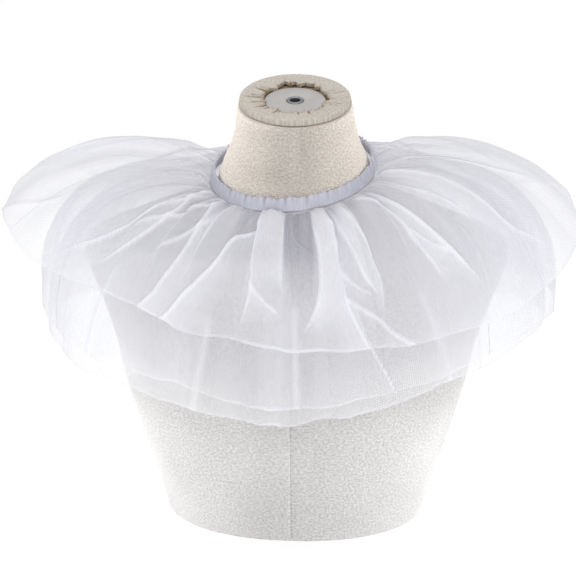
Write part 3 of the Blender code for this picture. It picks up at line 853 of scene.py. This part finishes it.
def build_band(material):
    """A casing folded over at its top, where the elastic puckers it."""
    columns = 1080
    degrees = np.arange(columns) * 360.0 / columns
    across = []
    for step in range(9):
        across.append((0.0, BAND_DEPTH * (1 - step / 8)))
    for turn in (150, 120, 90, 60, 30):
        middle = BAND_WALL / 2
        across.append((middle + middle * cos(radians(turn)), -middle * sin(radians(turn))))
    for step in range(13):
        across.append((BAND_WALL, BAND_DEPTH * step / 12))
    wider = np.array([row[0] for row in across])[None]
    lower = np.array([row[1] for row in across])[None]
    ring = degrees[:, None]
    near_top = np.exp(-(np.maximum(lower, 0.0) / PUCKER_REACH) ** 2)
    pucker = 0.5 * wander(ring, 47, 0.3) + 0.5 * wander(ring, 71, 1.1)
    slow = wander(ring + 400.0 * lower, 23, 2.2)
    out = PUCKER_OUT * pucker * near_top + CASING_OUT * slow * (lower < BAND_DEPTH * 0.9)
    up = PUCKER_UP * np.maximum(pucker, -0.5) * near_top + CASING_UP * wander(ring, 17, 0.9)
    points = band_point(ring, wider + out, lower)
    points[..., 2] += up
    flat_across = np.concatenate(([0.0], np.cumsum(np.hypot(np.diff(wider[0]), np.diff(lower[0])))))
    place = np.arange(columns + 1)[:, None] * BAND_CUT.length / columns
    flat = np.stack(np.broadcast_arrays(place, flat_across[None]), -1)
    # Painted shade in the creases of the puckers and along the band's lower edge
    pucker_shade = np.clip(-pucker * near_top, 0.0, 1.0) + 0.6 * ease(lower, BAND_DEPTH * 0.8, BAND_DEPTH)
    values = {"fullness": np.ones(points.shape[:2]), "shade": pucker_shade * np.ones(points.shape[:2])}
    band = grid_mesh("neckband_casing", points, flat, values)
    finish_piece(band, material, "band_tulle", "neckband")
    return band


# Stitches

def stitch_tree():
    """Lays a short thread at each step along a curve, each a little unlike in length."""
    tree = bpy.data.node_groups.new("running_stitch", "GeometryNodeTree")
    kinds = {"Path": "Geometry", "Spacing": "Float", "Length": "Float", "Thickness": "Float",
             "Seed": "Int", "Thread": "Material"}
    keys = {}
    for name, kind in kinds.items():
        socket = tree.interface.new_socket(name, in_out="INPUT", socket_type="NodeSocket" + kind)
        keys[name] = socket.identifier
    tree.interface.new_socket("Stitches", in_out="OUTPUT", socket_type="NodeSocketGeometry")
    given = tree.nodes.new("NodeGroupInput").outputs
    steps = add_node(tree, "GeometryNodeResampleCurve",
                     {"Curve": given["Path"], "Length": given["Spacing"]}, mode="LENGTH")
    thread = add_node(tree, "GeometryNodeMeshUVSphere", {"Segments": 8, "Rings": 5, "Radius": 0.5})
    uneven = add_node(tree, "FunctionNodeRandomValue", {2: 0.82, 3: 1.12, 8: given["Seed"]},
                      data_type="FLOAT")
    length = maths(tree, "MULTIPLY", given["Length"], uneven.outputs[1])
    size = add_node(tree, "ShaderNodeCombineXYZ", {0: length, 1: given["Thickness"], 2: given["Thickness"]})
    along = add_node(tree, "GeometryNodeInputTangent")
    turn = add_node(tree, "FunctionNodeAlignRotationToVector", {"Vector": along.outputs[0]}, axis="X")
    laid = add_node(tree, "GeometryNodeInstanceOnPoints",
                    {"Points": steps.outputs[0], "Instance": thread.outputs["Mesh"],
                     "Rotation": turn.outputs[0], "Scale": size.outputs[0]})
    real = add_node(tree, "GeometryNodeRealizeInstances", {0: laid.outputs[0]})
    finished = add_node(tree, "GeometryNodeSetMaterial", {0: real.outputs[0], "Material": given["Thread"]})
    result = tree.nodes.new("NodeGroupOutput")
    tree.links.new(finished.outputs[0], result.inputs[0])
    return tree, keys


def stitch_row(name, points, closed, stitch, seed, thread, slot):
    """A row of running stitches along the points, as one plain mesh."""
    curve = bpy.data.curves.new(name + "_path", "CURVE")
    curve.dimensions = "3D"
    spline = curve.splines.new("POLY")
    spline.points.add(len(points) - 1)
    spline.points.foreach_set("co", np.c_[points, np.ones(len(points))].reshape(-1))
    spline.use_cyclic_u = closed
    path = new_object(name + "_path", curve)
    tree, keys = stitch_tree()
    modifier = path.modifiers.new("stitches", "NODES")
    modifier.node_group = tree
    values = {"Spacing": stitch.spacing, "Length": stitch.length, "Thickness": stitch.thickness,
              "Seed": seed, "Thread": thread}
    for key, value in values.items():
        modifier[keys[key]] = value
    evaluated = path.evaluated_get(bpy.context.evaluated_depsgraph_get())
    mesh = bpy.data.meshes.new_from_object(evaluated)
    path.modifiers.remove(modifier)
    bpy.data.objects.remove(path)
    mesh.name = name
    mesh.shade_smooth()
    return finish_piece(new_object(name, mesh), thread, slot)


def build_band_stitches(thread):
    """The row that holds the gathers, just above the neckband's lower edge."""
    degrees = np.arange(360) * 1.0
    points = band_point(degrees, BAND_WALL + BAND_STITCH.proud, BAND_DEPTH - BAND_STITCH_HEIGHT)
    return stitch_row("band_stitches", points, True, BAND_STITCH, 4, thread, "band_tulle")


def build_seam_stitches(thread):
    """The row beside the form's front seam."""
    heights = np.linspace(0.004, FRONT_SEAM_TOP - 0.02, 80)
    half_width, front, back, tip = form_levels(heights).T
    depth = (front + back) / 2
    inward = np.abs(SEAM_STITCH_OFFSET / half_width) ** FORM_SQUARENESS
    reach = depth * (1.0 - inward) ** (1.0 / FORM_SQUARENESS)
    y = (back - front) / 2 - reach
    z = heights - np.tan(np.radians(tip)) * reach
    points = np.stack((np.full_like(y, SEAM_STITCH_OFFSET), y - SEAM_STITCH.proud, z), -1)
    return stitch_row("seam_stitches", points, False, SEAM_STITCH, 9, thread, "form_cloth")


# The gathered tiers

def ridge(part):
    return np.cos(pi * part) ** 2


def top_folds():
    first = TOP_FRONT_FOLDS[0]
    last = TOP_FRONT_FOLDS[-1]
    folds = list(TOP_FRONT_FOLDS)
    for index in range(1, TOP_BACK_FOLDS + 1):
        share = index / (TOP_BACK_FOLDS + 1)
        band = last.band_degrees + (first.band_degrees + 360.0 - last.band_degrees) * share
        hem = last.hem_degrees + (first.hem_degrees + 360.0 - last.hem_degrees) * share
        uneven = sin(UNEVEN_TURN * index)
        height = TOP_BACK_HEIGHT * (1.0 + UNEVEN_HEIGHT * uneven)
        hem += UNEVEN_DEGREES * cos(UNEVEN_TURN * index)
        folds.append(Fold(band, hem, height, BACK_PUFF, BACK_LEAN * uneven, BACK_ROLL))
    return folds


def lower_folds(share):
    folds = []
    for index in range(LOWER_FOLDS):
        degrees = 360.0 * index / LOWER_FOLDS - 180.0
        beside = sin(radians(degrees)) ** 2
        height = LOWER_FRONT_HEIGHT + (LOWER_SIDE_HEIGHT - LOWER_FRONT_HEIGHT) * beside
        uneven = sin(UNEVEN_TURN * index)
        height *= share * (1.0 + UNEVEN_HEIGHT * uneven)
        hem = degrees + UNEVEN_DEGREES * cos(UNEVEN_TURN * index)
        folds.append(Fold(degrees, hem, height, 0.0, BACK_LEAN * uneven, 0.002))
    return folds


def scattered_creases(count, first_degrees, last_degrees, start, height, shift):
    """Creases spread unevenly between two angles, for the sides that the front view doesn't show."""
    creases = []
    for index in range(count):
        degrees = first_degrees + (last_degrees - first_degrees) * (index + 0.5) / count
        degrees += 4.0 * sin(2.3 * index + shift)
        bend = 5.0 * sin(1.3 * index + shift)
        top = start + 0.2 * abs(sin(1.9 * index + shift))
        end = 0.8 + 0.2 * abs(sin(2.9 * index + shift))
        path = ((top, degrees), ((top + end) / 2, degrees + bend), (end, degrees + 1.7 * bend))
        tall = height * (1.0 + 0.4 * sin(0.9 * index + shift))
        creases.append(Crease(path, tall, 0.0020, 0.6 * sin(1.7 * index + shift), 0.011))
    return creases


def fold_values(folds, columns):
    """For each column of points: its angles, and the height, puff, lean and roll of its fold."""
    count = len(folds)
    table = np.array(folds)
    turn = np.zeros(table.shape[1])
    turn[:2] = 360.0
    table = np.vstack((table, table[0] + turn))
    # columns are spaced evenly round the band
    start = table[0, 0]
    band = start + 360.0 * np.arange(columns) / columns
    index = np.clip(np.searchsorted(table[:, 0], band, side="right") - 1, 0, count - 1)
    part = (band - table[index, 0]) / (table[index + 1, 0] - table[index, 0])
    hem = table[index, 1] + (table[index + 1, 1] - table[index, 1]) * part
    owner = np.where(part < 0.5, index, index + 1)
    beside = np.where(part < 0.5, part, part - 1.0)
    return band, hem, beside, table[owner]


def tier_points(sections, layer, degrees, down):
    """Points of a tier's plain surface, and the direction square to it."""
    values = around_sections(sections, degrees)
    away = outward(degrees)
    bend = away * values[..., 0:1]
    bend[..., 2] += values[..., 1]
    hem = away * values[..., 2:3]
    hem[..., 2] += values[..., 3]
    corner = band_point(degrees, BAND_WALL, BAND_DEPTH)
    leave = bend - corner
    leave /= np.linalg.norm(leave, axis=-1, keepdims=True)
    seam = corner + leave * (CLOTH_WALL / 2) - upward(leave, away) * (TIER_PITCH * layer)
    d = down[..., None]
    point = seam * (1 - d) ** 2 + bend * (2 * d * (1 - d)) + hem * d ** 2
    along = (bend - seam) * (1 - d) + (hem - bend) * d
    return point, upward(along, away)


def line_distance(points, normal, line):
    """How far each point lies from a line that runs down the cloth, positive on the side of the
    wearer's right hand, and the share of the line's length at the nearest place."""
    lengths = np.linalg.norm(np.diff(line, axis=0), axis=-1)
    starts = np.concatenate(([0.0], np.cumsum(lengths)))
    nearest = np.full(points.shape[:-1], np.inf)
    signed = np.zeros(points.shape[:-1])
    place = np.zeros(points.shape[:-1])
    for index, length in enumerate(lengths):
        run = (line[index + 1] - line[index]) / length
        offset = points - line[index]
        along = np.clip(offset @ run, 0.0, length)
        offset = offset - along[..., None] * run
        distance = np.linalg.norm(offset, axis=-1)
        side = np.sign((offset * np.cross(run, normal)).sum(-1))
        closer = distance < nearest
        nearest = np.where(closer, distance, nearest)
        signed = np.where(closer, distance * side, signed)
        place = np.where(closer, (starts[index] + along) / starts[-1], place)
    return signed, place


def press_creases(creases, sections, layer, degrees, down, base, normal):
    """The height that the creases add to each point, and the layers of cloth doubled beside them."""
    lift = np.zeros_like(degrees)
    layers = np.zeros_like(degrees)
    for crease in creases:
        path = np.array(crease.path, float)
        knots = path[:, 0]
        along = np.linspace(knots[0], knots[-1], 22)
        path_degrees = hermite(knots, path[:, 1:], along)[:, 0]
        line = tier_points(sections, layer, path_degrees, along)[0]
        middle = (path_degrees.min() + path_degrees.max()) / 2
        spread_degrees = (path_degrees.max() - path_degrees.min()) / 2 + 16.0
        columns = np.abs((degrees[:, 0] - middle + 180.0) % 360.0 - 180.0) < spread_degrees
        signed, place = line_distance(base[columns], normal[columns], line)
        fade = ease(place, 0.0, 0.12) * (1.0 - ease(place, 0.72, 1.0))
        if knots[-1] >= 1.0:
            fade = ease(place, 0.0, 0.12)
        aside = np.abs(signed) / crease.width
        lift[columns] += crease.height * fade * np.exp(-aside ** 1.5)
        beside = signed * (1.0 if crease.layers > 0 else -1.0)
        inside = ease(beside, -crease.width * 0.6, crease.width * 0.3)
        haze = inside * np.exp(-(np.maximum(beside, 0.0) / crease.reach) ** 1.3)
        rim = RIM_LAYERS * np.exp(-(1.4 * aside) ** 2) * crease.height / 0.0035
        layers[columns] += fade * (CREASE_GAIN * abs(crease.layers) * haze + rim)
    return lift, layers


def fold_rise(down):
    """How a fold's height grows below the band and settles again towards the hem."""
    return 2.3 * down - 1.85 * down ** 2


Tier = namedtuple("Tier", "name node sections layer sink cut columns rows hem_turn hem_layers shift")


def fold_lift(tier, height, puff, shape, band, degrees, down):
    """How far the folds, the gathers and the slow waves stand off the tier's plain surface."""
    lift = height[:, None] * shape * fold_rise(down) - tier.sink * height.max() * down
    early = ease(down, 0.0, 0.07) * (1.0 - down) ** 1.5
    lift = lift + puff[:, None] * shape * early
    gather = wander(band[:, None], GATHERS, 0.4 + tier.shift) * GATHER_SIZE
    lift = lift + gather * ease(down, 0.0, 0.05) * np.exp(-down / GATHER_REACH)
    soft = FALL_WAVE * wander(degrees + 30.0 * down, 5, 1.3 + tier.shift)
    soft = soft + FALL_RIPPLE * wander(degrees - 45.0 * down, 13, tier.shift)
    return lift + soft * down


def gathered_layers(tier, points):
    """How many layers thick the cloth is for being gathered: its cut length over its length here."""
    step = np.linalg.norm(np.roll(points, -1, 0) - points, axis=-1)
    for turn in range(40):
        step = (np.roll(step, 1, 0) + step * 2 + np.roll(step, -1, 0)) / 4
    return np.clip(tier.cut.length / tier.columns / step, 0.9, 3.4)


def cloth_values(tier, points, doubled, band, beside, degrees, down):
    """The fullness and the shade of the cloth at each point, for its material."""
    rows = tier.rows
    fullness = gathered_layers(tier, points)
    sides = np.sin(np.radians(degrees)) ** 2
    fullness[:, :rows] += doubled + SIDE_LAYERS * sides ** 2 * ease(down, 0.1, 0.6)
    if tier.layer == 2:
        fullness[:, :rows] += BOTTOM_LAYERS * (1.0 - sides) * ease(down, 0.6, 0.9)
    # Painted shade between the folds just under the band, stronger in front, and in the open valley
    shade = np.zeros_like(fullness)
    between = (1.0 - ridge(beside))[:, None] * ease(down, 0.0, 0.04)
    in_front = 0.4 + 0.6 * ease(np.cos(np.radians(degrees)), -0.2, 0.7)
    shade[:, :rows] = GATHER_SHADE * in_front * between * np.exp(-(down / GATHER_SHADE_REACH) ** 2)
    if tier.layer == 0:
        gap = (degrees - VALLEY_DEGREES) / VALLEY_HALF_DEGREES
        deep = ease(1.0 - gap ** 2 - (down / VALLEY_LENGTH) ** 3, 0.0, 0.7)
        fullness[:, :rows] *= 1.0 - VALLEY_THINNING * deep * ease(down, 0.02, 0.12)
        shade[:, :rows] += VALLEY_SHADE * deep * ease(down, 0.0, 0.08)
    stretches = ease(wander(band[:, None], 5, 1.0 + tier.shift), -0.5, 0.7)
    fullness[:, rows - 1:] *= 1.0 + (tier.hem_layers - 1.0) * (1.0 - 0.85 * sides[:, -1:]) * stretches
    return {"fullness": fullness, "shade": np.minimum(shade, 1.0)}


def build_tier(tier, folds, creases, material):
    band, hem, beside, values = fold_values(folds, tier.columns)
    height, puff, lean, roll, depth = values[:, 2:].T
    down = np.broadcast_to(np.linspace(0.0, 1.0, tier.rows), (tier.columns, tier.rows))
    degrees = band[:, None] + (hem - band)[:, None] * down
    base, normal = tier_points(tier.sections, tier.layer, degrees, down)
    shape = (1.0 - depth * (1.0 - ridge(beside)))[:, None]
    pressed, doubled = press_creases(creases, tier.sections, tier.layer, degrees, down, base, normal)
    lift = fold_lift(tier, height, puff, shape, band, degrees, down) + pressed
    grown = ease(down, 0.0, 0.25) * (1.0 - 0.85 * ease(down, 0.35, 0.95))
    aside = roll[:, None] * np.sin(4 * pi * beside)[:, None] + lean[:, None] * shape
    points = base + normal * lift[..., None] + sideways(degrees) * (aside * grown)[..., None]
    run = points[:, -1] - points[:, -2]
    run = run / np.linalg.norm(run, axis=-1, keepdims=True)
    wave = HEM_WAVE * wander(band, 7, 0.8 + tier.shift) + HEM_RIPPLE * wander(band, 19, 2.0 * tier.shift)
    points = points + run[:, None] * wave[:, None, None] * (down ** 6)[..., None]
    points, turned_rows = add_hem(points, normal[:, -1], run, tier.hem_turn)

    place = np.arange(tier.columns + 1)[:, None] * tier.cut.length / tier.columns
    run_down = np.linspace(0.0, 1.0, tier.rows) * tier.cut.depth
    run_down = np.concatenate((run_down, tier.cut.depth + tier.hem_turn * turned_rows))
    flat = np.stack(np.broadcast_arrays(place, run_down[None]), -1)
    looks = cloth_values(tier, points, doubled, band, beside, degrees, down)
    item = grid_mesh(tier.name, points, flat, looks)
    finish_piece(item, material, "tulle", tier.node + "_front", tier.node + "_back")
    return item


def add_hem(points, normal, run, hem_turn):
    """A narrow hem, turned under the edge. Also gives how far along the turn each new row lies."""
    last = points[:, -1]
    round_out = run * (HEM_LAYER_GAP / 2)
    rows = [
        last + round_out * 0.9 - normal * (HEM_LAYER_GAP * 0.25),
        last + round_out * 0.9 - normal * (HEM_LAYER_GAP * 0.75),
        last - run * 0.0004 - normal * HEM_LAYER_GAP,
        last - run * (hem_turn * 0.5) - normal * HEM_LAYER_GAP,
        last - run * hem_turn - normal * (HEM_LAYER_GAP * 0.8),
    ]
    new = np.stack(rows, 1)
    return np.concatenate((points, new), 1), np.array([0.06, 0.14, 0.25, 0.6, 1.0])


# Surroundings

def build_floor():
    size = 3.0
    mesh = bpy.data.meshes.new("floor")
    corners = [(-size, -size, 0.0), (size, -size, 0.0), (size, size, 0.0), (-size, size, 0.0)]
    mesh.from_pydata(corners, [], [(0, 1, 2, 3)])
    material, tree, shader = new_material("white_floor")
    feed(tree, shader, {"Base Color": (0.95, 0.95, 0.95, 1.0), "Roughness": 0.9,
                        "Emission Color": (1.0, 1.0, 1.0, 1.0), "Emission Strength": FLOOR_GLOW})
    mesh.materials.append(material)
    new_object("floor", mesh)


def away_from_form(turn_degrees, rise_degrees):
    """The direction at an angle round the form from its front, and up from the floor."""
    turn = radians(turn_degrees)
    rise = radians(rise_degrees)
    return Vector((sin(turn) * cos(rise), -cos(turn) * cos(rise), sin(rise)))


def place_facing(name, data, aim, away, distance):
    """A light or camera that stands away from what it aims at and faces it."""
    item = new_object(name, data)
    item.location = aim + away * distance
    item.rotation_euler = away.to_track_quat("Z", "Y").to_euler()
    return item


def light_only(light, receivers):
    """Lets a light fall on some pieces alone."""
    group = bpy.data.collections.new(light.name + "_receivers")
    for item in receivers:
        group.objects.link(item)
    light.light_linking.receiver_collection = group


def add_softbox(softbox, receivers):
    light = bpy.data.lights.new(softbox.name, "AREA")
    light.shape = "RECTANGLE"
    light.size, light.size_y = softbox.size
    light.energy = softbox.watts
    light.spread = radians(softbox.beam)
    aim = Vector((0.0, 0.0, softbox.aim_height))
    away = away_from_form(softbox.turn_degrees, softbox.rise_degrees)
    light_only(place_facing(softbox.name, light, aim, away, softbox.distance), receivers)


def add_sun(name, toward, strength, spread_degrees, receivers):
    """A broad soft light from one direction."""
    light = bpy.data.lights.new(name, "SUN")
    light.energy = strength
    light.angle = radians(spread_degrees)
    light_only(place_facing(name, light, Vector((0.0, 0.0, 0.0)), Vector(toward), 0.0), receivers)


def build_lights(body, cap, tulle):
    world = bpy.data.worlds.new("soft_white")
    world.use_nodes = True
    background = world.node_tree.nodes["Background"]
    feed(world.node_tree, background, {"Color": (1.0, 1.0, 1.0, 1.0), "Strength": WORLD_STRENGTH})
    bpy.context.scene.world = world
    add_sun("form_overhead", (0.05, -0.35, 1.0), FORM_OVERHEAD, 70.0, body + cap)
    add_sun("tulle_front", (0.05, -1.0, 0.15), TULLE_FRONT_LIGHT, 50.0, tulle)
    add_sun("tulle_overhead", (0.0, 0.3, 1.0), TULLE_OVERHEAD, 60.0, tulle)
    add_sun("tulle_back", (0.0, 1.0, 0.3), TULLE_BACK_LIGHT, 60.0, tulle)
    for softbox in SOFTBOXES:
        add_softbox(softbox, body)


def build_camera():
    camera = bpy.data.cameras.new("camera")
    camera.lens = CAMERA_LENS_MM
    camera.sensor_width = SENSOR_MM
    away = away_from_form(CAMERA_TURN_DEGREES, CAMERA_RISE_DEGREES)
    bpy.context.scene.camera = place_facing("camera", camera, Vector(CAMERA_AIM), away, CAMERA_DISTANCE)


def softened(folds, side_share, share):
    """The same folds with shallower valleys: by one share towards the sides, by another all round."""
    softer = []
    for fold in folds:
        beside = abs(sin(radians(fold.hem_degrees))) if abs(fold.hem_degrees) < 90 else 1.0
        depth = share * (1.0 + (side_share - 1.0) * beside ** 2)
        lean = fold.lean * share * (1.0 - 0.6 * beside)
        roll = fold.roll * share * (1.0 - 0.7 * beside)
        softer.append(fold._replace(lean=lean, roll=roll, depth=depth))
    return softer


def build_tiers():
    tulle = tulle_material("sheer_tulle", SHEER_TULLE)
    top = Tier("tulle_tier_top", "ruffle_top", TOP_SECTIONS, 0, 0.0, TOP_CUT, TOP_COLUMNS, TOP_ROWS,
               HEM_TURN_TOP, HEM_LAYERS_TOP, 0.0)
    middle = Tier("tulle_tier_middle", "ruffle_middle", MIDDLE_SECTIONS, 1, LOWER_SINK, MIDDLE_CUT,
                  LOWER_COLUMNS, LOWER_ROWS, HEM_TURN_LOWER, HEM_LAYERS_LOWER, 1.7)
    bottom = Tier("tulle_tier_bottom", "ruffle_bottom", BOTTOM_SECTIONS, 2, LOWER_SINK, BOTTOM_CUT,
                  LOWER_COLUMNS, LOWER_ROWS, HEM_TURN_LOWER, HEM_LAYERS_LOWER, 3.1)
    top_creases = TOP_CREASES + scattered_creases(BACK_CREASES, 108.0, 248.0, 0.05, 0.0030, 0.4)
    middle_creases = MIDDLE_CREASES + scattered_creases(LOWER_CREASES, 75.0, 285.0, 0.3, 0.0018, 0.5)
    bottom_creases = BOTTOM_CREASES + scattered_creases(LOWER_CREASES, 75.0, 285.0, 0.3, 0.0018, 2.6)
    return [
        build_tier(top, softened(top_folds(), SIDE_FOLD_SHARE, TOP_FOLD_SHARE), top_creases, tulle),
        build_tier(middle, softened(lower_folds(1.0), 1.0, LOWER_FOLD_SHARE), middle_creases, tulle),
        build_tier(bottom, softened(lower_folds(0.8), 1.0, LOWER_FOLD_SHARE), bottom_creases, tulle),
    ]


def main():
    form = build_form(knit_material("form_knit", FORM_KNIT))
    cap = build_cap()
    tiers = build_tiers()
    band = build_band(tulle_material("tulle_casing", DOUBLED_TULLE))
    thread = plain_material(WHITE_THREAD)
    band_stitches = build_band_stitches(thread)
    seam_stitches = build_seam_stitches(thread)
    build_floor()
    build_lights([form, seam_stitches], cap, tiers + [band, band_stitches])
    build_camera()
    scene = bpy.context.scene
    scene.view_settings.view_transform = "Standard"
    scene.cycles.transparent_max_bounces = 48


main()
